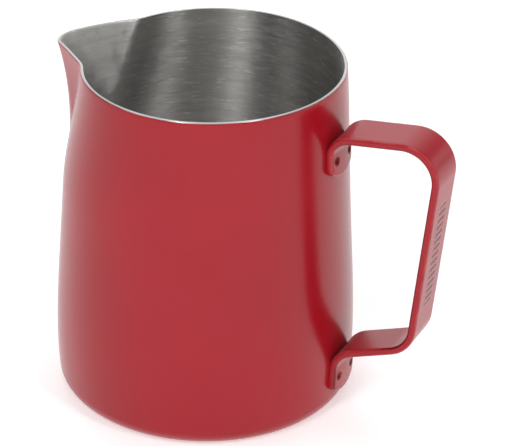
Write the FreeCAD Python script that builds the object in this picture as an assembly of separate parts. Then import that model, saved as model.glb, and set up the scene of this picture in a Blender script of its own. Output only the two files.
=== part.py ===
import FreeCAD, Part
import math
import os

# Milk frothing pitcher, 600 ml class: a drawn steel body with a pressed spout, and a bent
# steel strap handle spot-welded to it through four nuggets. Both carry a coloured coating.
# Millimetres. +Z is up, the origin is the centre of the flat base on the body's axis,
# the spout points along -X and the handle along +X.

Vector = FreeCAD.Vector

# Body, sizes of the bare steel
BODY_HEIGHT = 106.0
RIM_RADIUS = 41.0
WALL = 0.8
BASE_CORNER = 6.0
WALL_STATIONS = ((6.0, 44.95), (20.0, 45.4), (50.0, 44.0), (80.0, 42.4), (BODY_HEIGHT, RIM_RADIUS))

# Spout
SPOUT_ROOT = 66.7            # height where the spout starts to leave the round wall
SPOUT_REACH = 50.1           # from the axis to the tip
NOSE_CURVE = 1.74
NOSE_RADIUS = 6.2            # at the rim
NOSE_OPENING = 25.0          # added to that radius on the way down to the root
FLANK_ANGLE = 42.3           # between a flank and the spout's own axis
CREASE_BLEND = 0.8
PINCH_DEPTH = 4.8            # the wall is drawn in beside the spout
PINCH_START = 14.0           # round the body, from the spout
PINCH_END = 105.0
LIP_DROP = 1.8               # the tip sinks below the rim
LIP_START = 33.0

# Coating
COAT = 0.15
BARE_RIM = 0.2
COAT_HEM = 0.15              # the coating ends this far above the table

# Handle strap, along the middle of its thickness
STRAP_WIDTH = 14.2
STRAP_THICKNESS = 2.0
STRAP_EDGE_ROUND = 0.6
UPPER_TAB_END = 79.6
LOWER_TAB_END = 7.2
UPPER_ARM_START = 93.2
LOWER_ARM_START = 21.6
GRIP_TOP = Vector(76.8, 0, 97.0)
GRIP_BOTTOM = Vector(70.0, 0, 29.8)
BENDS = (6.1, 10.1, 9.4, 7.6)    # radii, from the upper foot to the lower one
TAB_BOW = 12.0               # radius of a tab's bowed end
TAB_CORNER = 2.6
TAB_ROOT = 30.0              # a tab's outline is swept along X from inside the body
TAB_REACH = 20.0

# Spot welds, two side by side in each tab
NUGGET_RADIUS = 1.4
NUGGET_DEPTH = 0.4           # into the body wall
NUGGET_SPREAD = 4.5          # from the strap's middle
UPPER_NUGGET_HEIGHT = 85.4
LOWER_NUGGET_HEIGHT = 13.4
DIMPLE_SPHERE = 1.9
DIMPLE_DEPTH = 0.8

# Construction
RING_POINTS = 180
LOFT_LEVELS = 20
OVERRUN = 3.0                # the raw body runs this far past the rim before it is trimmed
TANGENT_STEP = 0.05          # degrees


def smooth_step(t):
    t = min(max(t, 0.0), 1.0)
    return t * t * (3.0 - 2.0 * t)


def wall_radius(z):
    """Radius of the round steel wall: the one smooth curve through WALL_STATIONS."""
    total = 0.0
    for i, (height, radius) in enumerate(WALL_STATIONS):
        weight = 1.0
        for j, (other, _) in enumerate(WALL_STATIONS):
            if j != i:
                weight *= (z - other) / (height - other)
        total += weight * radius
    return total


def pinch(phi, growth):
    """How far the wall is drawn in, phi degrees round from the spout."""
    share = min(max((PINCH_END - phi) / (PINCH_END - PINCH_START), 0.0), 1.0)
    return PINCH_DEPTH * share ** 1.4 * smooth_step(growth)


def vee_radius(phi, tip, nose):
    """Polar outline of the spout's V: an arc of radius nose out to the tip, and a straight flank."""
    nose_centre = tip - nose
    normal = math.radians(90.0 - FLANK_ANGLE)
    flank_distance = nose_centre * math.cos(normal) + nose
    nose_end = math.atan2(nose * math.sin(normal), nose_centre + nose * math.cos(normal))
    angle = math.radians(phi)
    if angle < nose_end:
        side = nose_centre * math.sin(angle)
        return nose_centre * math.cos(angle) + math.sqrt(nose ** 2 - side ** 2)
    return flank_distance / math.cos(min(angle, normal) - normal)


def body_radius(phi, z):
    """The pinched wall or the spout's V, whichever reaches further, with a soft crease between."""
    if z <= SPOUT_ROOT:
        return wall_radius(z)
    growth = (z - SPOUT_ROOT) / (BODY_HEIGHT - SPOUT_ROOT)
    pinched = wall_radius(z) - pinch(phi, growth)
    proud_tip = (SPOUT_REACH - RIM_RADIUS + PINCH_DEPTH) * growth ** NOSE_CURVE
    tip = wall_radius(z) - pinch(0.0, growth) + proud_tip
    proud = vee_radius(phi, tip, NOSE_RADIUS + NOSE_OPENING * (1.0 - growth)) - pinched
    blend = CREASE_BLEND * smooth_step(growth / 0.3)
    overlap = max(blend - abs(proud), 0.0)
    return pinched + max(proud, 0.0) + overlap ** 2 / (4.0 * blend)


def outline_point(angle, z):
    """Point of the steel's outer surface, angle degrees round from the handle."""
    radius = body_radius(abs((angle % 360.0) - 180.0), z)
    turn = math.radians(angle)
    return Vector(radius * math.cos(turn), radius * math.sin(turn), z)


def body_ring(z, grow):
    """Closed outline of the body at one height, moved out by grow along its own normal."""
    points = []
    for step in range(RING_POINTS):
        angle = 360.0 * step / RING_POINTS
        along = outline_point(angle + TANGENT_STEP, z) - outline_point(angle - TANGENT_STEP, z)
        outward = Vector(along.y, -along.x, 0).normalize()
        points.append(outline_point(angle, z) + outward * grow)
    even_steps = [float(step) / RING_POINTS for step in range(RING_POINTS + 1)]
    curve = Part.BSplineCurve()
    curve.interpolate(Points=points, PeriodicFlag=True, Parameters=even_steps)
    return Part.Wire(curve.toShape())


def body_solid(grow, overrun=OVERRUN):
    """Everything inside the steel's outer surface moved out by grow, up past the rim."""
    height = BODY_HEIGHT + overrun + grow
    levels = [height * step / (LOFT_LEVELS - 1) - grow for step in range(LOFT_LEVELS)]
    raw = Part.makeLoft([body_ring(z, grow) for z in levels], True, False)
    base_edge = min(raw.Edges, key=lambda edge: edge.BoundBox.ZMax)
    return raw.makeFillet(BASE_CORNER + grow, [base_edge])


def above_rim(drop):
    """Everything above the rim line, which sinks a little towards the spout's tip."""
    far = 2.0 * SPOUT_REACH
    level = BODY_HEIGHT - drop
    lip_curve = Part.BezierCurve()
    lip_curve.setPoles([
        Vector(-LIP_START, -far, level),
        Vector(-(LIP_START + SPOUT_REACH) / 2.0, -far, level),
        Vector(-SPOUT_REACH, -far, level - LIP_DROP),
    ])
    slope = 2.0 * LIP_DROP / (SPOUT_REACH - LIP_START)
    overhang = Vector(-far, -far, level - LIP_DROP - slope * (far - SPOUT_REACH))
    ceiling = BODY_HEIGHT + far
    outline = Part.Wire([
        Part.LineSegment(Vector(far, -far, level), Vector(-LIP_START, -far, level)).toShape(),
        lip_curve.toShape(),
        Part.LineSegment(Vector(-SPOUT_REACH, -far, level - LIP_DROP), overhang).toShape(),
        Part.LineSegment(overhang, Vector(-far, -far, ceiling)).toShape(),
        Part.LineSegment(Vector(-far, -far, ceiling), Vector(far, -far, ceiling)).toShape(),
        Part.LineSegment(Vector(far, -far, ceiling), Vector(far, -far, level)).toShape(),
    ])
    return Part.Face(outline).extrude(Vector(0, 2.0 * far, 0))


def corner_runs():
    """Corners of the strap's middle line in the XZ plane, and the directions between them."""
    middle = STRAP_THICKNESS / 2.0
    corners = [
        Vector(wall_radius(UPPER_TAB_END) + middle, 0, UPPER_TAB_END),
        Vector(wall_radius(UPPER_ARM_START) + middle, 0, UPPER_ARM_START),
        GRIP_TOP,
        GRIP_BOTTOM,
        Vector(wall_radius(LOWER_ARM_START) + middle, 0, LOWER_ARM_START),
        Vector(wall_radius(LOWER_TAB_END) + middle, 0, LOWER_TAB_END),
    ]
    runs = [(after - before).normalize() for before, after in zip(corners, corners[1:])]
    return corners, runs


def strap_line(shift):
    """Edges of the strap's middle line moved to its left by shift: runs and tangent arcs."""
    corners, runs = corner_runs()
    left = [Vector(-run.z, 0, run.x) for run in runs]
    edges = []
    start = corners[0] + left[0] * shift
    for i, bend in enumerate(BENDS):
        corner = corners[i + 1]
        half_turn = runs[i].getAngle(runs[i + 1]) / 2.0
        reach = bend * math.tan(half_turn)
        inward = (runs[i + 1] - runs[i]).normalize()
        centre = corner + inward * (bend / math.cos(half_turn))
        bend_side = math.copysign(1.0, inward.dot(left[i]))
        first = corner - runs[i] * reach + left[i] * shift
        middle = centre - inward * (bend - bend_side * shift)
        last = corner + runs[i + 1] * reach + left[i + 1] * shift
        edges.append(Part.LineSegment(start, first).toShape())
        edges.append(Part.Arc(first, middle, last).toShape())
        start = last
    edges.append(Part.LineSegment(start, corners[-1] + left[-1] * shift).toShape())
    return edges


def flat_strap(grow):
    """The strap bent along its path with straight ends and rounded long edges."""
    half = STRAP_THICKNESS / 2.0 + grow
    width = STRAP_WIDTH + 2.0 * grow
    sides = Part.Wire(strap_line(half)), Part.Wire(strap_line(-half))
    ends = [Part.LineSegment(sides[0].OrderedVertexes[i].Point, sides[1].OrderedVertexes[i].Point)
            for i in (0, -1)]
    edges = sides[0].Edges + sides[1].Edges + [end.toShape() for end in ends]
    profile = Part.Face(Part.Wire(Part.sortEdges(edges)[0]))
    profile.translate(Vector(0, -width / 2.0, 0))
    strap = profile.extrude(Vector(0, width, 0))
    long_edges = [edge for edge in strap.Edges
                  if edge.BoundBox.YLength < 1e-3 and edge.Length > 2.4 * half]
    return strap.makeFillet(STRAP_EDGE_ROUND + grow, long_edges)


def tab_top(bend):
    """Height where the straight tab below a foot bend ends."""
    corners, runs = corner_runs()
    half_turn = runs[bend].getAngle(runs[bend + 1]) / 2.0
    return corners[bend + 1].z - BENDS[bend] * math.tan(half_turn)


def tab_room(low, high):
    """A box round a whole tab, wide enough to clear the flat strap from it."""
    half = STRAP_WIDTH
    return Part.makeBox(TAB_REACH, 2.0 * half, high - low + half, Vector(TAB_ROOT, -half, low - half))


def tab_block(low, high, grow):
    """The space that a tab's upright outline sweeps along X: straight sides and a bowed end."""
    half = STRAP_WIDTH / 2.0 + grow
    bow = TAB_BOW + grow
    bottom = low - grow
    shoulder = bottom + bow - math.sqrt(bow ** 2 - half ** 2)
    corners = [
        Vector(TAB_ROOT, -half, high),
        Vector(TAB_ROOT, -half, shoulder),
        Vector(TAB_ROOT, half, shoulder),
        Vector(TAB_ROOT, half, high),
    ]
    outline = Part.Wire([
        Part.LineSegment(corners[0], corners[1]).toShape(),
        Part.Arc(corners[1], Vector(TAB_ROOT, 0, bottom), corners[2]).toShape(),
        Part.LineSegment(corners[2], corners[3]).toShape(),
        Part.LineSegment(corners[3], corners[0]).toShape(),
    ])
    return Part.Face(outline).extrude(Vector(TAB_REACH, 0, 0))


def curved_tab(low, high, grow, steel):
    """A tab that follows the body: straight sides, a bowed lower end and soft front edges."""
    outline = tab_block(low, high, grow)
    corners = [edge for edge in outline.Edges
               if edge.BoundBox.XLength > edge.BoundBox.DiagonalLength - 1e-3
               and edge.BoundBox.Center.z < high - TAB_CORNER]
    outline = outline.makeFillet(TAB_CORNER + grow, corners)
    front = STRAP_THICKNESS + grow
    tab = body_solid(front).common(outline).cut(steel)
    edges = []
    for edge in tab.Edges:
        point = edge.valueAt((edge.FirstParameter + edge.LastParameter) / 2.0)
        on_front = abs(math.hypot(point.x, point.y) - wall_radius(point.z) - front) < 0.05
        inside = abs(point.y) < 1e-3 * STRAP_WIDTH
        if on_front and point.z < high - 1e-3 and not (inside and edge.BoundBox.ZLength > 1.0):
            edges.append(edge)
    return tab.makeFillet(STRAP_EDGE_ROUND + grow, edges)


def handle_solid(grow, steel):
    """The whole handle: the bent strap with a curved tab pressed on the body at each end."""
    handle = flat_strap(grow)
    tabs = ((UPPER_TAB_END, tab_top(0)), (LOWER_TAB_END, tab_top(3)))
    for low, high in tabs:
        handle = handle.cut(tab_room(low, high))
    handle = handle.cut(steel)
    handle = handle.fuse([curved_tab(low, high, grow, steel) for low, high in tabs])
    for height in (UPPER_NUGGET_HEIGHT, LOWER_NUGGET_HEIGHT):
        for side in (-1, 1):
            handle = handle.cut(dimple(height, side, grow))
    return handle


def nugget_direction(height, side):
    """Level direction from the axis through one weld."""
    turn = side * NUGGET_SPREAD / (wall_radius(height) + STRAP_THICKNESS)
    return Vector(math.cos(turn), math.sin(turn), 0)


def dimple(height, side, grow):
    """The ball that presses one dimple into a tab's front."""
    ball = DIMPLE_SPHERE - grow
    distance = wall_radius(height) + STRAP_THICKNESS - DIMPLE_DEPTH + DIMPLE_SPHERE
    return Part.makeSphere(ball, nugget_direction(height, side) * distance + Vector(0, 0, height))


def nugget_rod(height, side):
    """A rod through the tab and part of the wall, which one weld nugget fills."""
    direction = nugget_direction(height, side)
    start = direction * (wall_radius(height) - NUGGET_DEPTH) + Vector(0, 0, height)
    return Part.makeCylinder(NUGGET_RADIUS, NUGGET_DEPTH + STRAP_THICKNESS, start, direction)


def write(name, shape):
    assert shape.isValid() and len(shape.Solids) == 1, name
    shape.Solids[0].exportStep("parts/" + name + ".step")
    print(name, "volume", round(shape.Volume, 2))


def main():
    os.makedirs("parts", exist_ok=True)
    steel = body_solid(0.0)
    shell = steel.cut(body_solid(-WALL, 2.0 * OVERRUN)).cut(above_rim(0.0))
    strap = handle_solid(0.0, steel)
    coated_handle = handle_solid(COAT, steel)

    below_hem = Part.makeBox(4.0 * RIM_RADIUS, 4.0 * RIM_RADIUS, BASE_CORNER,
                             Vector(-2.0 * RIM_RADIUS, -2.0 * RIM_RADIUS, COAT_HEM - BASE_CORNER))
    coat = body_solid(COAT).cut(steel).cut(above_rim(BARE_RIM)).cut(below_hem).cut(coated_handle)

    write("body_coating", coat)
    write("handle_coating", coated_handle.cut(strap))
    for level, height in (("upper", UPPER_NUGGET_HEIGHT), ("lower", LOWER_NUGGET_HEIGHT)):
        for hand, side in (("left", -1), ("right", 1)):
            rod = nugget_rod(height, side)
            nugget = rod.common(strap).fuse(rod.common(shell)).removeSplitter()
            strap = strap.cut(rod)
            shell = shell.cut(rod)
            write("weld_nugget_" + level + "_" + hand, nugget)
    write("handle_strap", strap)
    write("body_shell", shell)


main()
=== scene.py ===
import math

import bpy
import numpy as np
from mathutils import Matrix, Vector


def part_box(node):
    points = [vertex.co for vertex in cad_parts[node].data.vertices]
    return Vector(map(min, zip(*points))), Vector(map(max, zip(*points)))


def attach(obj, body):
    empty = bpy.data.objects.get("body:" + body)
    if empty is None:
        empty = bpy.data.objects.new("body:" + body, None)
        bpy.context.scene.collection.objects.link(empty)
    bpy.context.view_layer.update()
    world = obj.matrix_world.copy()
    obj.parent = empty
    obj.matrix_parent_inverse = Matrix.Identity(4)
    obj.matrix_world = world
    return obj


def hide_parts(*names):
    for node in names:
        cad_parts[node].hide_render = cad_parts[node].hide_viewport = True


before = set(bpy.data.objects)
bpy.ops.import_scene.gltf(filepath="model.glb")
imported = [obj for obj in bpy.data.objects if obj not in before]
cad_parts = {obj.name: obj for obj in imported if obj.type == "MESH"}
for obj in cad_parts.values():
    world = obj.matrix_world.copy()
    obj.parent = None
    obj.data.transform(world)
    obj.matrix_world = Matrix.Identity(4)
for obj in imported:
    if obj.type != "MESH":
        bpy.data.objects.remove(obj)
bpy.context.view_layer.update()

# Milk frothing pitcher: a brushed steel cup with a pressed spout, coated outside, and a coated
# strap handle. Metres. +Z is up, the spout points along -X and the handle along +X.
# The skins repeat the CAD shapes by the same formulas, with fine meshes and soft edges.

shell_high = Vector(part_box("body_shell")[1])
coating_low, coating_high = (Vector(corner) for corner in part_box("body_coating"))

# Cup, sizes of the bare steel
RIM_HEIGHT = 0.1060
RIM_RADIUS = 0.0410
WALL = 0.0008
BASE_CORNER = 0.0060
WALL_STATIONS = (
    (0.006, 0.04495),
    (0.020, 0.0454),
    (0.050, 0.0440),
    (0.080, 0.0424),
    (RIM_HEIGHT, RIM_RADIUS),
)

# Spout
SPOUT_ROOT = 0.0667
SPOUT_REACH = 0.0501
NOSE_CURVE = 1.74
NOSE_RADIUS = 0.0062         # at the rim
NOSE_OPENING = 0.0250        # added to that radius on the way down to the root
FLANK_ANGLE = math.radians(42.3)
CREASE_BLEND = 0.0008
CREASE_GROWTH = 0.3          # share of the spout's height over which the crease softens
PINCH_DEPTH = 0.0048
PINCH_CURVE = 1.4
PINCH_START = math.radians(14.0)
PINCH_END = math.radians(105.0)
LIP_DROP = 0.0018
LIP_START = 0.0330

# Rounding of the rim's edge
LIP_OUTER_ROUND = 0.00018
LIP_INNER_ROUND = 0.00008
LIP_BAND = 0.0006            # the wall's rows stop this far below the rim

# Traces of the press in the nose
PRESSED_TURN = math.radians(16.0)
PRESSED_FROM = 0.054

# Coating
COAT = coating_high.y - shell_high.y
BARE_RIM = shell_high.z - coating_high.z
COAT_HEM = coating_low.z
COAT_ROOT = 0.00005          # how far the coating's back is sunk in the steel
COAT_EDGE_ROUND = 0.8        # of its upper edge, as a share of its thickness

# Handle strap, along the middle of its thickness
STRAP_WIDTH = 0.0142
STRAP_THICKNESS = 0.0020
STRAP_EDGE_ROUND = 0.0006
UPPER_TAB_END = 0.0796
LOWER_TAB_END = 0.0072
UPPER_ARM_START = 0.0932
LOWER_ARM_START = 0.0216
GRIP_TOP = (0.0768, 0.0970)
GRIP_BOTTOM = (0.0700, 0.0298)
BENDS = (0.0061, 0.0101, 0.0094, 0.0076)
GRIP_RUN, LOWER_ARM_RUN = 4, 6       # among the strap's runs and bends, counted from above
TAB_BOW = 0.0120
TAB_CORNER = 0.0026
CROWN_FADE = 0.0070          # along the strap, from a tab's curve to the flat arm
RUNG_FADE = 0.0050           # along a tab, from its bowed end to straight rungs

# Etched bars on the grip's outer face
ETCH_PITCH = 0.0024
ETCH_BAR = 0.42              # share of each step that the bar takes
ETCH_WIDTH = 0.0050
ETCH_LENGTH = 0.0336
ETCH_SOFT = 0.0001           # blur round the ladder of bars
ETCH_STEP_SOFT = 0.05        # blur of a bar's long sides, as a share of a step
FACE_BAND = 0.02             # share of half the thickness that counts as the outer face

# Weld dimples
DIMPLE_SPREAD = 0.0045
UPPER_DIMPLE_HEIGHT = 0.0854
LOWER_DIMPLE_HEIGHT = 0.0134
DIMPLE_SPHERE = 0.0019
DIMPLE_DEPTH = 0.0008
DIMPLE_BLEND = 0.00010       # softness of its mouth
DIMPLE_LIP = 0.00004         # faint raised ring round it
DIMPLE_LIP_PLACE = 1.18      # of that ring, as a share of the mouth's radius
DIMPLE_LIP_SPREAD = 0.16
# The dimples' painted shade is darkest within this share of their radius
DIMPLE_SHADE_CORE = 0.375          # share of its radius that is darkest

# Mesh fineness
RIM_ROUNDS, LEAN_ROUNDS = 4, 6       # repeats until the rim's height and the wall's lean settle
NOSE_ZONE, SIDE_ZONE = math.radians(50.0), math.radians(105.0)
NOSE_COLUMNS, SIDE_COLUMNS, BACK_COLUMNS = 100, 44, 38
WALL_ROWS = 70
FLAT_ROWS, FLAT_START = 13, 0.02     # the first row's share of the flat base's radius
BASE_EDGE_ROWS = 12
HEM_EDGE_ROWS = 40
LIP_OUTER_ROWS, LIP_INNER_ROWS = 6, 7
COAT_EDGE_ROWS = 5
STRAP_COLUMNS = 48
STRAP_EDGE_ROWS = 6
BOWED_END_ROWS = 12
LONG_STEP = 0.0015           # between stations on the strap's straight runs
BEND_STEP = 0.0005
TAB_STEP = 0.00025

# Colours
COAT_DARK, COAT_LIGHT = (0.340, 0.0008, 0.0085), (0.370, 0.0015, 0.0110)
# Painted highlight on the handle's rounded edges, patchy as if worn
COAT_WORN_HIGHLIGHT = (0.62, 0.16, 0.15)
# Painted shade on the handle's edges that lie against the body or line the finger gap
COAT_EDGE_SHADE = (0.12, 0.001, 0.002)
# Painted shade in the handle's dimples
COAT_PIT_SHADE = (0.10, 0.001, 0.003)
COAT_ETCHED = (0.10, 0.04, 0.04)
STEEL_DARK, STEEL_LIGHT = (0.50, 0.49, 0.47), (0.64, 0.63, 0.61)
STEEL_STROKE = (0.90, 0.88, 0.86)
STEEL_PRESSED = (0.42, 0.41, 0.395)
STEEL_BLOTCH = (0.17, 0.16, 0.15)
# Painted shadow line on the bare steel between the coating's edge and the lip
STEEL_WALL_SHADE = (0.22, 0.19, 0.18)
STEEL_LIP = (0.50, 0.49, 0.48)
STRIP_DARK, STRIP_LIGHT = (0.46, 0.45, 0.43), (0.56, 0.55, 0.53)
WELD_DARK, WELD_LIGHT = (0.30, 0.29, 0.28), (0.44, 0.42, 0.39)
FLOOR_DARK, FLOOR_LIGHT = (0.80, 0.80, 0.80), (0.82, 0.82, 0.82)

# Surfaces, with noise in cycles per metre and relief in metres; a SHARE is the most mixed in
COAT_CLOUD = 28.0
COAT_ROUGH = (0.22, 0.27)
PEEL_NOISE, PEEL_RELIEF = 1500.0, 0.0000012
GRAIN_NOISE, GRAIN_RELIEF = 5200.0, 0.0000003
# The handle's painted edge highlight, patchy as if worn: its noise, its share and its least share
WEAR_HIGHLIGHT_NOISE, WEAR_HIGHLIGHT_SHARE, WEAR_HIGHLIGHT_LEAST = 220.0, 0.4, 0.1
ETCH_SHARE, ETCH_ROUGH, ETCH_RELIEF = 0.8, 0.3, -0.00003
FINE_LINES, FINE_RELIEF = (240.0, 3400.0), 0.000011  # noise along the brush lines and across
BROAD_LINES, BROAD_RELIEF = (70.0, 800.0), 0.00001
STROKE_LINES, STROKE_SHARE = (240.0, 2600.0), 0.8
STROKE_BAND = (0.60, 0.70)   # of the noise, from no stroke to a full one
BLOTCH_NOISE, BLOTCH_SHARE = 130.0, 0.4
BLOTCH_BAND = (0.50, 0.60)
WAVE_NOISE, WAVE_RELIEF = 200.0, 0.0007
STEEL_ROUGH = (0.34, 0.50)
LIP_ROUGH = 0.32
PRESSED_SHARE, PRESSED_ROUGH, PRESSED_METALLIC = 0.5, 0.40, 0.35
PRESSED_STROKES = 0.3        # share of the strokes left there
STRIP_NOISE, STRIP_ROUGH, STRIP_RELIEF = 400.0, (0.30, 0.42), 0.00001
WELD_NOISE, WELD_ROUGH, WELD_RELIEF = 1800.0, (0.45, 0.65), 0.00003

# Camera
CAMERA_AZIMUTH = math.radians(24.5)
CAMERA_ELEVATION = math.radians(28.38)
CAMERA_ROLL = math.radians(1.16)
CAMERA_DISTANCE = 0.820
CAMERA_AIM = Vector((0.01384, 0.00594, 0.05268))
CAMERA_LENS = 190.14         # millimetres on a 36 mm sensor

# Light of the studio's walls, from the camera's side (0) round to the backdrop (1)
STUDIO_WALLS = ((0.0, 0.16), (0.2, 0.12), (0.4, 0.08), (0.8, 0.10), (0.9, 1.3))
FLOOR_GLOW = 0.56            # a light table under the floor
FLOOR_HALF = 3.0
LIGHT_AIM = Vector((0.0, 0.0, 0.08))


# ---------------------------------------------------------------- shape of the cup

def smooth_step(t):
    """0 up to t = 0, 1 from t = 1 on, and level at both ends."""
    t = np.clip(t, 0.0, 1.0)
    return t * t * (3.0 - 2.0 * t)


def wall_radius(z):
    """Radius of the round steel wall: the one smooth curve through WALL_STATIONS."""
    total = 0.0
    for i, (height, radius) in enumerate(WALL_STATIONS):
        weight = 1.0
        for j, (other, _) in enumerate(WALL_STATIONS):
            if j != i:
                weight = weight * (z - other) / (height - other)
        total = total + weight * radius
    return total


def pinch(phi, growth):
    """How far the wall is drawn in, phi round from the spout."""
    share = np.clip((PINCH_END - phi) / (PINCH_END - PINCH_START), 0.0, 1.0)
    return PINCH_DEPTH * share ** PINCH_CURVE * smooth_step(growth)


def vee_radius(phi, tip, nose):
    """Polar outline of the spout's V: an arc of radius nose out to the tip, and a straight flank."""
    nose_centre = tip - nose
    normal = math.pi / 2.0 - FLANK_ANGLE
    flank = nose_centre * math.cos(normal) + nose
    nose_end = np.arctan2(nose * math.sin(normal), nose_centre + nose * math.cos(normal))
    side = np.minimum(nose_centre * np.sin(phi), nose)
    arc = nose_centre * np.cos(phi) + np.sqrt(nose ** 2 - side ** 2)
    return np.where(phi < nose_end, arc, flank / np.cos(np.minimum(phi, normal) - normal))


def steel_outline(turn, z):
    """Points of the steel's outer surface, turn round from the handle.

    The pinched wall or the spout's V, whichever reaches further, with a soft crease between."""
    phi = np.abs(np.mod(turn, 2.0 * math.pi) - math.pi)
    growth = np.maximum(z - SPOUT_ROOT, 0.0) / (RIM_HEIGHT - SPOUT_ROOT)
    pinched = wall_radius(z) - pinch(phi, growth)
    proud_tip = (SPOUT_REACH - RIM_RADIUS + PINCH_DEPTH) * growth ** NOSE_CURVE
    tip = wall_radius(z) - pinch(0.0, growth) + proud_tip
    proud = vee_radius(phi, tip, NOSE_RADIUS + NOSE_OPENING * (1.0 - growth)) - pinched
    blend = np.maximum(CREASE_BLEND * smooth_step(growth / CREASE_GROWTH), 1e-9)
    overlap = np.maximum(blend - np.abs(proud), 0.0)
    proud = np.where(growth > 0.0, np.maximum(proud, 0.0) + overlap ** 2 / (4.0 * blend), 0.0)
    radius = pinched + proud
    return np.stack((radius * np.cos(turn), radius * np.sin(turn)), axis=-1)


def cup_ring(turn, z, grow):
    """One ring of points on the steel's outer surface moved out by grow."""
    step = math.radians(0.05)
    along = steel_outline(turn + step, z) - steel_outline(turn - step, z)
    outward = np.stack((along[:, 1], -along[:, 0]), axis=-1)
    outward /= np.linalg.norm(outward, axis=1)[:, None]
    flat = steel_outline(turn, z) + outward * np.reshape(grow, (-1, 1))
    return np.column_stack((flat, np.broadcast_to(z, turn.shape)))


def rim_line(turn):
    """Height of the rim at each turn: level, then sinking to the spout's tip."""
    height = np.full(turn.shape, RIM_HEIGHT)
    for _ in range(RIM_ROUNDS):
        x = steel_outline(turn, height)[:, 0]
        share = np.clip((-x - LIP_START) / (SPOUT_REACH - LIP_START), 0.0, None)
        height = RIM_HEIGHT - LIP_DROP * share ** 2
    return height


def cup_turns():
    """Angles of the cup's columns, closest together round the spout."""
    nose = np.linspace(0.0, NOSE_ZONE, NOSE_COLUMNS, endpoint=False)
    side = np.linspace(NOSE_ZONE, SIDE_ZONE, SIDE_COLUMNS, endpoint=False)
    back = np.linspace(SIDE_ZONE, math.pi, BACK_COLUMNS, endpoint=False)
    half = np.concatenate((nose, side, back))
    return np.concatenate((math.pi + half, [2.0 * math.pi], 3.0 * math.pi - half[:0:-1]))


def corner_arc(grow, count):
    """Radii and heights of the rounded base edge, from the flat base up to the wall."""
    corner = BASE_CORNER + grow
    step = 1e-5
    lean = 0.0
    for _ in range(LEAN_ROUNDS):
        z = BASE_CORNER - corner * math.sin(lean)
        lean = math.atan((wall_radius(z + step) - wall_radius(z - step)) / (2.0 * step))
    centre = wall_radius(z) + grow - corner * math.cos(lean)
    angles = np.linspace(-math.pi / 2.0, -lean, count)
    return centre + corner * np.cos(angles), BASE_CORNER + corner * np.sin(angles)


def round_rings(turn, radii, heights):
    """Plain circles of points, for the base and its rounded edge."""
    return [np.column_stack((r * np.cos(turn), r * np.sin(turn), np.full(turn.shape, z)))
            for r, z in zip(radii, heights)]


def wall_rings(turn, start, top, grow):
    """Rings up the wall from a level start to the line top, which may differ from turn to turn."""
    rings = []
    for share in np.linspace(0.0, 1.0, WALL_ROWS):
        rings.append(cup_ring(turn, start + (top - start) * share, grow))
    return rings


# ---------------------------------------------------------------- meshes

def mesh_piece(name, points, faces, attributes=()):
    """A smooth mesh object from points and faces, with one number per point for each attribute."""
    mesh = bpy.data.meshes.new(name)
    mesh.from_pydata([tuple(p) for p in points], [], faces)
    mesh.shade_smooth()
    for label, values in attributes:
        layer = mesh.attributes.new(label, "FLOAT", "POINT")
        layer.data.foreach_set("value", np.asarray(values, np.float32))
    piece = bpy.data.objects.new(name, mesh)
    bpy.context.scene.collection.objects.link(piece)
    return piece


def ring_faces(rings, columns, closed):
    """Quads between neighbouring rings; closed joins the last ring to the first."""
    faces = []
    for row in range(rings if closed else rings - 1):
        below, above = row * columns, (row + 1) % rings * columns
        for column in range(columns):
            after = (column + 1) % columns
            faces.append((below + column, below + after, above + after, above + column))
    return faces


def run_lengths(rings):
    """Distance along each column from the first ring."""
    steps = np.linalg.norm(np.diff(np.array(rings), axis=0), axis=2)
    return np.vstack((np.zeros(steps.shape[1]), np.cumsum(steps, axis=0)))


def steel_lip(turn, top):
    """Rings over the rim's edge, rounded on both sides, from the outer wall to the inner wall."""
    rings = []
    for angle in np.linspace(0.0, math.pi / 2.0, LIP_OUTER_ROWS):
        rings.append(cup_ring(turn, top - LIP_OUTER_ROUND * (1.0 - math.sin(angle)),
                              -LIP_OUTER_ROUND * (1.0 - math.cos(angle))))
    for angle in np.linspace(math.pi / 2.0, 0.0, LIP_INNER_ROWS):
        rings.append(cup_ring(turn, top - LIP_INNER_ROUND * (1.0 - math.sin(angle)),
                              -WALL + LIP_INNER_ROUND * (1.0 - math.cos(angle))))
    return rings


def pressed_share(points):
    """1 in the spout's nose, where pressing left the metal wavy and dull, fading out round it."""
    phi = np.abs(np.mod(np.arctan2(points[:, 1], points[:, 0]), 2.0 * math.pi) - math.pi)
    sideways = 1.0 - smooth_step((phi - PRESSED_TURN) / PRESSED_TURN)
    return sideways * smooth_step((points[:, 2] - PRESSED_FROM) / (RIM_HEIGHT - PRESSED_FROM))


def steel_rings(turn, top):
    """Rings over the steel, and the rows where the lip starts and ends.

    They run from the middle of the underside up the outer wall, over the lip and down inside."""
    outer_r, outer_z = corner_arc(0.0, BASE_EDGE_ROWS)
    inner_r, inner_z = corner_arc(-WALL, BASE_EDGE_ROWS)
    flat = np.linspace(FLAT_START, 1.0, FLAT_ROWS + 1)[:-1]
    rings = round_rings(turn, flat * outer_r[0], np.zeros(flat.shape))
    rings += round_rings(turn, outer_r, outer_z)
    rings += wall_rings(turn, outer_z[-1], top - LIP_BAND, 0.0)[1:]
    first_lip = len(rings)
    rings += steel_lip(turn, top)
    last_lip = len(rings)
    rings += wall_rings(turn, inner_z[-1], top - LIP_BAND, -WALL)[::-1]
    rings += round_rings(turn, inner_r[-2::-1], inner_z[-2::-1])
    rings += round_rings(turn, flat[::-1] * inner_r[0], np.full(flat.shape, WALL))
    return rings, first_lip, last_lip


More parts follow.
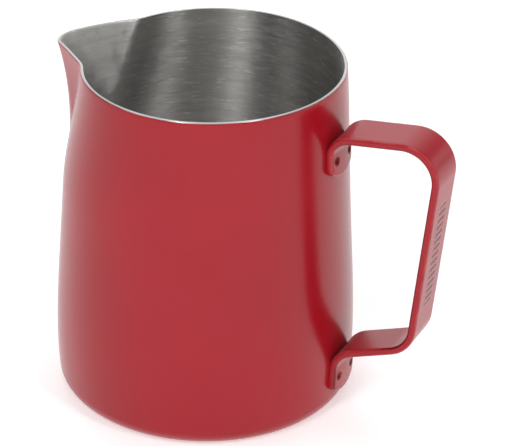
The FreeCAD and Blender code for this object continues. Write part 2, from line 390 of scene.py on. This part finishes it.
def make_cup(turn, top):
    """The steel as one closed skin, its two flats closed by fans round a middle point."""
    rings, first_lip, last_lip = steel_rings(turn, top)
    columns = len(turn)
    points = np.vstack(rings + [[(0.0, 0.0, 0.0), (0.0, 0.0, WALL)]])
    faces = ring_faces(len(rings), columns, False)
    last = (len(rings) - 1) * columns
    for column in range(columns):
        after = (column + 1) % columns
        faces.append((after, column, len(points) - 2))
        faces.append((last + column, last + after, len(points) - 1))

    run = run_lengths(rings).ravel()
    run = np.append(run, (0.0, run[-1] + np.hypot(*rings[-1][-1, :2])))
    row = np.arange(len(points)) // columns
    polish = (row >= first_lip) & (row < last_lip)
    # Painted shade on the outer wall's steel above the base edge; only the bare band between the
    # coating's edge and the lip shows
    shaded_outer_wall = (row < first_lip) & (points[:, 2] > BASE_CORNER)
    return mesh_piece("cup_steel", points, faces, (
        ("brush_run", run),
        ("polish", polish),
        ("outer_wall_shade", shaded_outer_wall),
        ("pressed", pressed_share(points)),
    ))


def make_coating(turn, top):
    """The cup's coating: a thin closed skin from the hem at the base to a soft edge below the rim."""
    radii, heights = corner_arc(COAT, HEM_EDGE_ROWS)
    above = heights >= COAT_HEM
    radii, heights = radii[above], heights[above]
    edge = top - BARE_RIM
    soft = COAT * COAT_EDGE_ROUND
    rings = round_rings(turn, radii, heights)
    rings += wall_rings(turn, heights[-1], edge - soft, COAT)[1:]
    for angle in np.linspace(0.0, math.pi / 2.0, COAT_EDGE_ROWS)[1:]:
        rings.append(cup_ring(turn, edge - soft * (1.0 - math.sin(angle)),
                              COAT - soft * (1.0 - math.cos(angle))))
    rings += wall_rings(turn, BASE_CORNER, edge, -COAT_ROOT)[::-1]
    inner_r, inner_z = corner_arc(-COAT_ROOT, HEM_EDGE_ROWS)
    inside = inner_z >= COAT_HEM
    rings += round_rings(turn, inner_r[inside][-2::-1], inner_z[inside][-2::-1])
    return mesh_piece("cup_coating", np.vstack(rings), ring_faces(len(rings), len(turn), True))


# ---------------------------------------------------------------- strap handle

class StrapPath:
    """The middle line of the strap in the XZ plane: straight runs joined by tangent arcs."""

    def __init__(self):
        middle = STRAP_THICKNESS / 2.0
        corners = [
            (wall_radius(UPPER_TAB_END) + middle, UPPER_TAB_END),
            (wall_radius(UPPER_ARM_START) + middle, UPPER_ARM_START),
            GRIP_TOP,
            GRIP_BOTTOM,
            (wall_radius(LOWER_ARM_START) + middle, LOWER_ARM_START),
            (wall_radius(LOWER_TAB_END) + middle, LOWER_TAB_END),
        ]
        corners = [np.array(corner) for corner in corners]
        runs = [(b - a) / np.linalg.norm(b - a) for a, b in zip(corners, corners[1:])]
        # Each piece is its distance along the strap, length, start, heading and turn
        self.pieces = []
        start, length = corners[0], 0.0
        for i, bend in enumerate(BENDS):
            before, after = runs[i], runs[i + 1]
            turn = math.atan2(before[0] * after[1] - before[1] * after[0], before @ after)
            reach = bend * math.tan(abs(turn) / 2.0)
            first = corners[i + 1] - before * reach
            run = np.linalg.norm(first - start)
            self.pieces.append((length, run, start, before, 0.0))
            length += run
            self.pieces.append((length, bend * abs(turn), first, before, turn))
            length += bend * abs(turn)
            start = corners[i + 1] + after * reach
        run = np.linalg.norm(corners[-1] - start)
        self.pieces.append((length, run, start, runs[-1], 0.0))
        self.length = length + run

    def at(self, s):
        """Point and direction at distance s from the upper tab's end."""
        origin, run, start, heading, turn = self.pieces[0]
        for piece in self.pieces:
            if s >= piece[0]:
                origin, run, start, heading, turn = piece
        ahead = s - origin
        if turn == 0.0:
            return start + heading * ahead, heading
        swept = turn * ahead / run
        side = np.array((-heading[1], heading[0]))
        radius = run / turn
        point = start + heading * radius * math.sin(swept) + side * radius * (1.0 - math.cos(swept))
        return point, heading * math.cos(swept) + side * math.sin(swept)

    def stations(self, low, high):
        """Distances along the strap, close together on the tabs and in the bends."""
        upper_tab_end, lower_tab_start = self.pieces[1][0], sum(self.pieces[-2][:2])
        marks = [low]
        while marks[-1] < high - 1e-9:
            s = marks[-1]
            step = LONG_STEP
            for origin, run, _, _, turn in self.pieces:
                if turn != 0.0 and origin - BEND_STEP <= s < origin + run + BEND_STEP:
                    step = BEND_STEP
            if s < upper_tab_end or s > lower_tab_start:
                step = TAB_STEP
            marks.append(min(s + step, high))
        return np.array(marks)


def dimple_depth(distance, grow):
    """Depth of a pressed dimple at some distance from its middle, with a faint raised lip."""
    ball = DIMPLE_SPHERE - grow
    level = DIMPLE_SPHERE - DIMPLE_DEPTH - grow
    mouth = math.sqrt(ball ** 2 - level ** 2)
    bowl = math.sqrt(max(ball ** 2 - distance ** 2, 0.0)) - level
    overlap = max(DIMPLE_BLEND - abs(bowl), 0.0) / DIMPLE_BLEND
    soft = max(bowl, 0.0) + overlap ** 2 * DIMPLE_BLEND / 4.0
    off_ring = (distance - DIMPLE_LIP_PLACE * mouth) / (DIMPLE_LIP_SPREAD * mouth)
    return soft - DIMPLE_LIP * math.exp(-off_ring ** 2)


class Strap:
    """Maps the flat strap, s along it, w across it and t through it, to its bent and crowned shape."""

    def __init__(self, grow):
        self.path = StrapPath()
        self.grow = grow
        upper, lower = self.path.pieces[1], self.path.pieces[-2]
        # Each foot is where its tab meets the bend, the strap's side there and its dimples' place
        self.feet = (
            (upper[0], 1.0, UPPER_DIMPLE_HEIGHT - UPPER_TAB_END),
            (lower[0] + lower[1], -1.0, self.path.length - (LOWER_DIMPLE_HEIGHT - LOWER_TAB_END)),
        )

    def to_cup(self, s, w):
        """How far a point moves along the strap's left side for the tabs to lie on the cup."""
        moved = 0.0
        for foot, side, _ in self.feet:
            share = 1.0 - float(smooth_step(side * (s - foot) / CROWN_FADE))
            if share > 0.0:
                tab = min(s * side, foot * side) * side
                (x, z), _ = self.path.at(tab)
                middle = wall_radius(z) + STRAP_THICKNESS / 2.0
                moved += side * share * (x - math.sqrt(middle ** 2 - w * w))
        return moved

    def pressed(self, s, w, t):
        """How far a point of the skin is pressed in by the dimples, along the strap's left side."""
        for _, side, dimple in self.feet:
            gap = math.hypot(s - dimple, abs(w) - DIMPLE_SPREAD)
            if t * side < 0.0 and gap < 2.0 * DIMPLE_SPHERE:
                return side * dimple_depth(gap, self.grow)
        return 0.0

    def place(self, s, w, t):
        """Where a point of the flat strap comes to lie."""
        centre, heading = self.path.at(s)
        left = np.array((-heading[1], heading[0]))
        x, z = centre + left * (t + self.to_cup(s, w) + self.pressed(s, w, t))
        return x, w, z


def grip_middle():
    """Distance along the strap to the middle of the grip's straight run."""
    origin, run = StrapPath().pieces[GRIP_RUN][:2]
    return origin + run / 2.0


def strap_rungs(strap, edge):
    """Rungs across the strap's flat face inset by edge.

    Each is its place s, half width, outward direction along and across the strap, and how much it
    bends with the tab's bowed end."""
    grow = strap.grow
    half = STRAP_WIDTH / 2.0 + grow
    bow, corner = TAB_BOW + grow, TAB_CORNER + grow
    rise = math.sqrt((bow - corner) ** 2 - (half - corner) ** 2)
    end = []
    for turn in np.linspace(math.atan2(half - corner, rise), math.pi / 2.0, BOWED_END_ROWS):
        end.append((bow - rise - (corner - edge) * math.cos(turn),
                    half - corner + (corner - edge) * math.sin(turn), -math.cos(turn), math.sin(turn)))
    low, high = -grow, strap.path.length + grow
    ends_at = end[-1][0]
    rungs = [(low + ahead, *rest) for ahead, *rest in end]
    for s in strap.path.stations(low + ends_at, high - ends_at)[1:-1]:
        rungs.append((s, half - edge, 0.0, 1.0))
    rungs += [(high - ahead, reach, -along, across) for ahead, reach, along, across in reversed(end)]
    first, last = rungs[0][0], rungs[-1][0]
    bent = []
    for rung in rungs:
        near = 1.0 - smooth_step((rung[0] - first) / RUNG_FADE)
        far = 1.0 - smooth_step((last - rung[0]) / RUNG_FADE)
        bent.append((*rung, float(near - far)))
    return bent


def strap_marks(strap, s, w, t, out):
    """Numbers that the handle's material reads: place on the strap, dimples and rounded edges.

    Edges get a painted highlight, patchy as if worn, on the loop's outside and round the tabs' faces,
    and painted shade where they lie against the body or line the finger gap. Dimples get painted
    shade."""
    half = STRAP_THICKNESS / 2.0 + strap.grow
    pit_shade, on_tab = np.zeros(len(s)), np.zeros(len(s))
    for foot, side, dimple in strap.feet:
        gap = np.hypot(s - dimple, np.abs(w) - DIMPLE_SPREAD) / DIMPLE_SPHERE
        # Painted shade in the dimples, darkest round their middle
        dark = 1.0 - smooth_step((gap - DIMPLE_SHADE_CORE) / (1.0 - DIMPLE_SHADE_CORE))
        pit_shade = np.maximum(pit_shade, (t * side < 0.0) * dark)
        on_tab = np.maximum(on_tab, 1.0 - smooth_step(side * (s - foot) / CROWN_FADE))
    lower_arm = smooth_step((s - strap.path.pieces[LOWER_ARM_RUN][0]) / CROWN_FADE)
    # Painted light on the rounded edges: painted shade where they lie against the body or line the
    # finger gap, and elsewhere a painted highlight, which the material makes patchy as if worn.
    corner = np.sin(math.pi * np.clip(out / (STRAP_EDGE_ROUND + strap.grow), 0.0, 1.0))
    inside = smooth_step(0.5 - t / half)
    dull = corner * (inside * (1.0 - np.maximum(on_tab, lower_arm)) + (1.0 - inside) * on_tab)
    return (("along", s), ("across", w), ("outward", t / half), ("pit_shade", pit_shade),
            ("shaded_edge", dull), ("worn_highlit_edge", corner - dull))


def face_quads(count, width):
    """Quads of the strap's two flat faces; the inner face's points follow the outer one's."""
    faces = []
    for row in range(count - 1):
        for column in range(width - 1):
            corner = row * width + column
            quad = (corner, corner + 1, corner + width + 1, corner + width)
            faces.append(quad)
            faces.append(tuple(count * width + v for v in reversed(quad)))
    return faces


def face_border(count, width):
    """Rows and columns of a face's points, in order round its border."""
    border = [(0, column) for column in range(width)]
    border += [(row, width - 1) for row in range(1, count)]
    border += [(count - 1, column) for column in range(width - 2, -1, -1)]
    border += [(row, 0) for row in range(count - 2, 0, -1)]
    return border


def edge_profile(edge, half):
    """How far out and how high the rounded edge's rows lie, from the outer face to the inner one."""
    turns = np.linspace(0.0, math.pi / 2.0, STRAP_EDGE_ROWS)[1:]
    profile = [(edge * math.sin(turn), half - edge * (1.0 - math.cos(turn))) for turn in turns]
    return profile + [(out, -t) for out, t in reversed(profile)]


def make_strap(name, grow):
    """The bent strap grown by a coating: two faces of rungs, joined all round by a rounded edge."""
    strap = Strap(grow)
    half = STRAP_THICKNESS / 2.0 + grow
    edge = STRAP_EDGE_ROUND + grow
    bow = TAB_BOW + grow - edge
    rungs = strap_rungs(strap, edge)
    shares = np.linspace(-1.0, 1.0, STRAP_COLUMNS + 1)
    count, width = len(rungs), len(shares)

    def spot(row, column, out, t):
        """A point out from its rung and t from the strap's middle, and where the flat strap has it."""
        s, reach, along, across, bend = rungs[row]
        w = shares[column] * reach
        s += bend * (math.sqrt(bow ** 2 - reach ** 2) - math.sqrt(bow ** 2 - w ** 2))
        if row in (0, count - 1):
            lean = math.asin(w / bow)
            along, across = math.copysign(math.cos(lean), along), math.sin(lean)
        else:
            across = math.copysign(across, w)
        s, w = s + along * out, w + across * out
        return (*strap.place(s, w, t), s, w, t, out)

    points = [spot(row, column, 0.0, side)
              for side in (half, -half) for row in range(count) for column in range(width)]
    faces = face_quads(count, width)
    border = face_border(count, width)
    loops = [[row * width + column for row, column in border]]
    for out, t in edge_profile(edge, half):
        loops.append(list(range(len(points), len(points) + len(border))))
        points += [spot(row, column, out, t) for row, column in border]
    loops.append([count * width + v for v in loops[0]])
    for upper, lower in zip(loops, loops[1:]):
        for i in range(len(border)):
            after = (i + 1) % len(border)
            faces.append((upper[after], upper[i], lower[i], lower[after]))
    points = np.array(points)
    return mesh_piece(name, points[:, :3], faces, strap_marks(strap, *points[:, 3:].T))


# ---------------------------------------------------------------- materials

def node(tree, kind, **values):
    """A new node with its properties and input sockets set."""
    made = tree.nodes.new(kind)
    for key, value in values.items():
        if hasattr(made, key):
            setattr(made, key, value)
        else:
            made.inputs[key.replace("_", " ")].default_value = value
    return made


def new_material(name):
    """A material, its node tree and its shader."""
    material = bpy.data.materials.new(name)
    material.use_nodes = True
    tree = material.node_tree
    return material, tree, tree.nodes["Principled BSDF"]


def object_noise(tree, scale, detail, stretch=(1.0, 1.0, 1.0)):
    """Noise fixed to the object, scale in cycles per metre."""
    place = node(tree, "ShaderNodeTexCoord")
    mapping = node(tree, "ShaderNodeMapping", Scale=stretch)
    noise = node(tree, "ShaderNodeTexNoise", Scale=scale, Detail=detail)
    tree.links.new(place.outputs["Object"], mapping.inputs["Vector"])
    tree.links.new(mapping.outputs["Vector"], noise.inputs["Vector"])
    return noise.outputs["Fac"]


def ramp(tree, value, stops):
    """Colours read off a value, each stop a place from 0 to 1 and a colour."""
    made = node(tree, "ShaderNodeValToRGB")
    elements = made.color_ramp.elements
    while len(elements) < len(stops):
        elements.new(0.5)
    for element, (place, colour) in zip(elements, stops):
        element.position = place
        element.color = (*colour, 1.0)
    tree.links.new(value, made.inputs["Fac"])
    return made.outputs["Color"]


def two_tone(tree, noise, dark, light):
    """Colours from dark to light over the middle of a noise's range."""
    return ramp(tree, noise, ((0.3, dark), (0.7, light)))


def value_range(tree, value, low, high, source=(0.3, 0.7)):
    """The value stretched from the source range to low and high, and held there beyond it."""
    made = node(tree, "ShaderNodeMapRange")
    made.inputs["From Min"].default_value, made.inputs["From Max"].default_value = source
    made.inputs["To Min"].default_value = low
    made.inputs["To Max"].default_value = high
    tree.links.new(value, made.inputs["Value"])
    return made.outputs["Result"]


def bump(tree, height, distance, below=None):
    """A relief distance high, laid over the relief below."""
    made = node(tree, "ShaderNodeBump", Strength=1.0, Distance=distance)
    tree.links.new(height, made.inputs["Height"])
    if below is not None:
        tree.links.new(below, made.inputs["Normal"])
    return made.outputs["Normal"]


def mark(tree, name):
    """A number that the mesh carries at each point."""
    return node(tree, "ShaderNodeAttribute", attribute_name=name).outputs["Fac"]


def math_node(tree, operation, first, second):
    """The operation's result; first and second are numbers or outputs of other nodes."""
    made = node(tree, "ShaderNodeMath", operation=operation)
    for socket, value in zip(made.inputs, (first, second)):
        if isinstance(value, float):
            socket.default_value = value
        else:
            tree.links.new(value, socket)
    return made.outputs["Value"]


def mix_colours(tree, share, colour, other):
    """The colour mixed by share with another, constant one."""
    made = node(tree, "ShaderNodeMix", data_type="RGBA")
    first, second, result = made.inputs[6], made.inputs[7], made.outputs[2]    # the colour sockets
    tree.links.new(share, made.inputs["Factor"])
    tree.links.new(colour, first)
    second.default_value = (*other, 1.0)
    return result


def within(tree, value, centre, half, soft):
    """1 where value lies within half of centre, falling to 0 over the distance soft."""
    off = math_node(tree, "ABSOLUTE", math_node(tree, "SUBTRACT", value, centre), 0.0)
    return value_range(tree, off, 1.0, 0.0, (half, half + soft))


def etched_bars(tree, centre):
    """A plain ladder of short bars down the grip's outer face."""
    along = mark(tree, "along")
    steps = math_node(tree, "FRACT", math_node(tree, "DIVIDE", along, ETCH_PITCH), 0.0)
    bars = within(tree, steps, 0.5, ETCH_BAR / 2.0, ETCH_STEP_SOFT)
    length = within(tree, along, centre, ETCH_LENGTH / 2.0, ETCH_SOFT)
    width = within(tree, mark(tree, "across"), 0.0, ETCH_WIDTH / 2.0, ETCH_SOFT)
    outer_face = within(tree, mark(tree, "outward"), 1.0, FACE_BAND, FACE_BAND)
    area = math_node(tree, "MULTIPLY", length, math_node(tree, "MULTIPLY", width, outer_face))
    return math_node(tree, "MULTIPLY", area, bars)


def handle_colour(tree, colour, etched):
    """The coating's colour, with a painted highlight, patchy as if worn, and painted shade on edges,
    painted shade in dimples, and darker etched bars.
    """
    patchy = value_range(tree, object_noise(tree, WEAR_HIGHLIGHT_NOISE, 3.0), WEAR_HIGHLIGHT_LEAST, 1.0)
    # painted highlight on the rounded edges, patchy as if worn
    worn_highlight = math_node(tree, "MULTIPLY", mark(tree, "worn_highlit_edge"), patchy)
    colour = mix_colours(tree, math_node(tree, "MULTIPLY", worn_highlight, WEAR_HIGHLIGHT_SHARE), colour, COAT_WORN_HIGHLIGHT)
    # painted shade on edges against the body or along the finger gap
    colour = mix_colours(tree, mark(tree, "shaded_edge"), colour, COAT_EDGE_SHADE)
    # painted shade in the dimples
    colour = mix_colours(tree, mark(tree, "pit_shade"), colour, COAT_PIT_SHADE)
    return mix_colours(tree, etched, colour, COAT_ETCHED)


def coating_material(name, etch_centre=None):
    """Satin powder coating: deep red with a fine orange-peel skin.

    With a place for the etching it is the handle's, with painted highlights and painted shade on its
    edges and painted shade in its dimples."""
    material, tree, shader = new_material(name)
    cloud = object_noise(tree, COAT_CLOUD, 3.0)
    colour = two_tone(tree, cloud, COAT_DARK, COAT_LIGHT)
    rough = value_range(tree, cloud, *COAT_ROUGH)
    skin = bump(tree, object_noise(tree, PEEL_NOISE, 2.0), PEEL_RELIEF)
    skin = bump(tree, object_noise(tree, GRAIN_NOISE, 1.0), GRAIN_RELIEF, below=skin)
    if etch_centre is not None:
        etched = math_node(tree, "MULTIPLY", etched_bars(tree, etch_centre), ETCH_SHARE)
        colour = handle_colour(tree, colour, etched)
        rough = math_node(tree, "ADD", rough, math_node(tree, "MULTIPLY", etched, ETCH_ROUGH))
        skin = bump(tree, etched, ETCH_RELIEF, below=skin)
    tree.links.new(colour, shader.inputs["Base Color"])
    tree.links.new(rough, shader.inputs["Roughness"])
    tree.links.new(skin, shader.inputs["Normal"])
    shader.inputs["IOR"].default_value = 1.44
    shader.inputs["Sheen Weight"].default_value = 0.10
    shader.inputs["Sheen Roughness"].default_value = 0.35
    return material


def brush_lines(tree, along, across, detail):
    """Noise drawn out round the cup, along and across the brush lines in cycles per metre."""
    split = node(tree, "ShaderNodeSeparateXYZ")
    join = node(tree, "ShaderNodeCombineXYZ")
    mapping = node(tree, "ShaderNodeMapping", Scale=(along, along, across))
    noise = node(tree, "ShaderNodeTexNoise", Scale=1.0, Detail=detail, Roughness=0.6)
    tree.links.new(node(tree, "ShaderNodeTexCoord").outputs["Object"], split.inputs["Vector"])
    tree.links.new(split.outputs["X"], join.inputs["X"])
    tree.links.new(split.outputs["Y"], join.inputs["Y"])
    tree.links.new(mark(tree, "brush_run"), join.inputs["Z"])
    tree.links.new(join.outputs["Vector"], mapping.inputs["Vector"])
    tree.links.new(mapping.outputs["Vector"], noise.inputs["Vector"])
    return noise.outputs["Fac"]


def steel_colour(tree, broad, polish, pressed):
    """Steel with light strokes, grey and blotched in the nose, with a painted shadow line on the bare
    band between the coating's edge and the lip, and clear on the lip.
    """
    strokes = value_range(tree, brush_lines(tree, *STROKE_LINES, 1.0), 0.0, STROKE_SHARE, STROKE_BAND)
    unpressed = value_range(tree, pressed, 1.0, PRESSED_STROKES, (0.0, 1.0))
    strokes = math_node(tree, "MULTIPLY", strokes, unpressed)
    blotches = value_range(tree, object_noise(tree, BLOTCH_NOISE, 3.0), 0.0, BLOTCH_SHARE, BLOTCH_BAND)
    blotches = math_node(tree, "MULTIPLY", pressed, blotches)
    greyed = math_node(tree, "MULTIPLY", pressed, PRESSED_SHARE)
    colour = two_tone(tree, broad, STEEL_DARK, STEEL_LIGHT)
    colour = mix_colours(tree, strokes, colour, STEEL_STROKE)
    colour = mix_colours(tree, greyed, colour, STEEL_PRESSED)
    colour = mix_colours(tree, blotches, colour, STEEL_BLOTCH)
    # painted shadow line on the bare band between the coating's edge and the lip
    colour = mix_colours(tree, mark(tree, "outer_wall_shade"), colour, STEEL_WALL_SHADE)
    return mix_colours(tree, polish, colour, STEEL_LIP)


def steel_roughness(tree, fine, polish, pressed, brushed):
    """Rough along the fine lines, duller in the nose and even on the lip."""
    rough = value_range(tree, fine, *STEEL_ROUGH)
    rough = math_node(tree, "ADD", rough, math_node(tree, "MULTIPLY", pressed, PRESSED_ROUGH))
    rough = math_node(tree, "MULTIPLY", rough, brushed)
    return math_node(tree, "ADD", rough, math_node(tree, "MULTIPLY", polish, LIP_ROUGH))


def steel_relief(tree, fine, broad, pressed, brushed):
    """Waves in the nose and brush lines everywhere but on the lip."""
    waves = math_node(tree, "MULTIPLY", object_noise(tree, WAVE_NOISE, 2.0), pressed)
    relief = None
    for height, depth in ((waves, WAVE_RELIEF), (broad, BROAD_RELIEF), (fine, FINE_RELIEF)):
        relief = bump(tree, math_node(tree, "MULTIPLY", height, brushed), depth, below=relief)
    return relief


def brushed_steel_material():
    """Stainless steel brushed round the cup, dull in the spout's nose and polished on the lip."""
    material, tree, shader = new_material("brushed_stainless")
    fine = brush_lines(tree, *FINE_LINES, 2.0)
    broad = brush_lines(tree, *BROAD_LINES, 3.0)
    polish, pressed = mark(tree, "polish"), mark(tree, "pressed")
    brushed = math_node(tree, "SUBTRACT", 1.0, polish)
    metallic = value_range(tree, pressed, 1.0, PRESSED_METALLIC, (0.0, 1.0))
    tree.links.new(steel_colour(tree, broad, polish, pressed), shader.inputs["Base Color"])
    tree.links.new(steel_roughness(tree, fine, polish, pressed, brushed), shader.inputs["Roughness"])
    tree.links.new(steel_relief(tree, fine, broad, pressed, brushed), shader.inputs["Normal"])
    tree.links.new(metallic, shader.inputs["Metallic"])
    shader.inputs["Anisotropic"].default_value = 0.9
    shader.inputs["Anisotropic Rotation"].default_value = 0.25
    tangent = node(tree, "ShaderNodeTangent", direction_type="RADIAL", axis="Z")
    tree.links.new(tangent.outputs["Tangent"], shader.inputs["Tangent"])
    return material


def grainy_steel_material(name, noise, detail, stretch, dark, light, rough, relief):
    """Plain steel, with one grain for its colour, its roughness and its relief."""
    material, tree, shader = new_material(name)
    grain = object_noise(tree, noise, detail, stretch)
    tree.links.new(two_tone(tree, grain, dark, light), shader.inputs["Base Color"])
    tree.links.new(value_range(tree, grain, *rough), shader.inputs["Roughness"])
    tree.links.new(bump(tree, grain, relief), shader.inputs["Normal"])
    shader.inputs["Metallic"].default_value = 1.0
    return material


def strap_steel_material():
    """Rolled stainless strip, under the handle's coating."""
    return grainy_steel_material("rolled_stainless", STRIP_NOISE, 3.0, (1.0, 12.0, 1.0),
                                 STRIP_DARK, STRIP_LIGHT, STRIP_ROUGH, STRIP_RELIEF)


def weld_material():
    """Spot-weld nugget: once-molten steel with a dull skin."""
    return grainy_steel_material("weld_nugget_steel", WELD_NOISE, 4.0, (1.0, 1.0, 1.0),
                                 WELD_DARK, WELD_LIGHT, WELD_ROUGH, WELD_RELIEF)


def floor_material():
    """A pale matt floor, lit a little from below."""
    material, tree, shader = new_material("pale_floor")
    cloud = object_noise(tree, 3.0, 2.0)
    colour = two_tone(tree, cloud, FLOOR_DARK, FLOOR_LIGHT)
    tree.links.new(colour, shader.inputs["Base Color"])
    tree.links.new(colour, shader.inputs["Emission Color"])
    shader.inputs["Emission Strength"].default_value = FLOOR_GLOW
    shader.inputs["Roughness"].default_value = 0.9
    shader.inputs["Specular IOR Level"].default_value = 0.1
    return material


def paint(piece, material):
    """Give the piece this one material."""
    piece.data.materials.clear()
    piece.data.materials.append(material)


# ---------------------------------------------------------------- pieces

def make_pieces():
    """The four skins in place of their CAD nodes, and the weld nuggets' material."""
    turn = cup_turns()
    top = rim_line(turn)
    steel = make_cup(turn, top)
    coating = make_coating(turn, top)
    handle = make_strap("handle_coating_skin", COAT)
    strap = make_strap("handle_strap_steel", 0.0)
    paint(steel, brushed_steel_material())
    paint(coating, coating_material("satin_red_coating"))
    paint(handle, coating_material("satin_red_handle", grip_middle()))
    paint(strap, strap_steel_material())
    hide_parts("body_shell")
    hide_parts("body_coating")
    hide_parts("handle_coating")
    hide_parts("handle_strap")
    for piece in (steel, coating, handle, strap):
        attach(piece, "root")
    weld = weld_material()
    for name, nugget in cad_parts.items():
        if name.startswith("weld_nugget"):
            paint(nugget, weld)


# ---------------------------------------------------------------- studio

def make_floor():
    """The studio's floor, which is no part of the object."""
    corners = [(x * FLOOR_HALF, y * FLOOR_HALF, 0.0) for x, y in ((-1, -1), (1, -1), (1, 1), (-1, 1))]
    floor = mesh_piece("studio_floor", corners, [(0, 1, 2, 3)])
    paint(floor, floor_material())


def around(azimuth, elevation, distance=1.0):
    """A place round the cup, its azimuth counted from the camera and positive to the right."""
    turn = CAMERA_AZIMUTH - math.pi / 2.0 + math.radians(azimuth)
    level = distance * math.cos(math.radians(elevation))
    return Vector((level * math.cos(turn), level * math.sin(turn),
                   distance * math.sin(math.radians(elevation))))


def make_world():
    """A white studio, brightest at the backdrop and dimmer on the camera's side."""
    world = bpy.data.worlds.new("studio")
    bpy.context.scene.world = world
    world.use_nodes = True
    tree = world.node_tree
    place = node(tree, "ShaderNodeTexCoord")
    facing = node(tree, "ShaderNodeVectorMath", operation="DOT_PRODUCT")
    facing.inputs[1].default_value = around(180.0, 0.0)
    tree.links.new(place.outputs["Generated"], facing.inputs[0])
    share = value_range(tree, facing.outputs["Value"], 0.0, 1.0, (-1.0, 1.0))
    light = ramp(tree, share, [(stop, (level,) * 3) for stop, level in STUDIO_WALLS])
    background = tree.nodes["Background"]
    tree.links.new(light, background.inputs["Color"])
    background.inputs["Strength"].default_value = 1.0


def soft_light(name, azimuth, elevation, distance, width, height, power):
    """A rectangular lamp, width by height, somewhere round the cup and turned to it."""
    data = bpy.data.lights.new(name, "AREA")
    data.shape = "RECTANGLE"
    data.size, data.size_y = width, height
    data.energy = power
    light = bpy.data.objects.new(name, data)
    light.location = around(azimuth, elevation, distance)
    light.rotation_mode = "QUATERNION"
    light.rotation_quaternion = (LIGHT_AIM - light.location).to_track_quat("-Z", "Y")
    bpy.context.scene.collection.objects.link(light)


def make_camera():
    """A long lens, above the cup and to the right of its side."""
    back = Vector((math.sin(CAMERA_AZIMUTH) * math.cos(CAMERA_ELEVATION),
                   -math.cos(CAMERA_AZIMUTH) * math.cos(CAMERA_ELEVATION),
                   math.sin(CAMERA_ELEVATION)))
    level = Vector((math.cos(CAMERA_AZIMUTH), math.sin(CAMERA_AZIMUTH), 0.0))
    right = Matrix.Rotation(CAMERA_ROLL, 3, back) @ level
    up = back.cross(right)
    data = bpy.data.cameras.new("camera")
    data.sensor_fit = "HORIZONTAL"
    data.sensor_width = 36.0
    data.lens = CAMERA_LENS
    data.clip_start, data.clip_end = 0.01, 20.0
    camera = bpy.data.objects.new("camera", data)
    turned = Matrix((right, up, back)).transposed().to_4x4()
    camera.matrix_world = Matrix.Translation(CAMERA_AIM + back * CAMERA_DISTANCE) @ turned
    bpy.context.scene.collection.objects.link(camera)
    bpy.context.scene.camera = camera


make_pieces()
make_floor()
make_world()
make_camera()
soft_light("softbox_left", azimuth=-24.0, elevation=42.0, distance=1.1,
           width=0.20, height=0.6, power=3.9)
soft_light("softbox_right", azimuth=42.0, elevation=42.0, distance=1.1,
           width=0.20, height=0.6, power=3.3)
soft_light("card_left", azimuth=-72.0, elevation=42.0, distance=1.1,
           width=0.35, height=0.6, power=1.1)
soft_light("card_right", azimuth=112.0, elevation=14.0, distance=1.1,
           width=1.3, height=0.3, power=1.0)
soft_light("fill_front", azimuth=0.0, elevation=12.0, distance=1.4,
           width=1.0, height=0.3, power=1.0)
soft_light("softbox_top", azimuth=180.0, elevation=70.0, distance=1.3,
           width=1.0, height=1.0, power=5.6)
bpy.context.scene.view_settings.view_transform = "Standard"
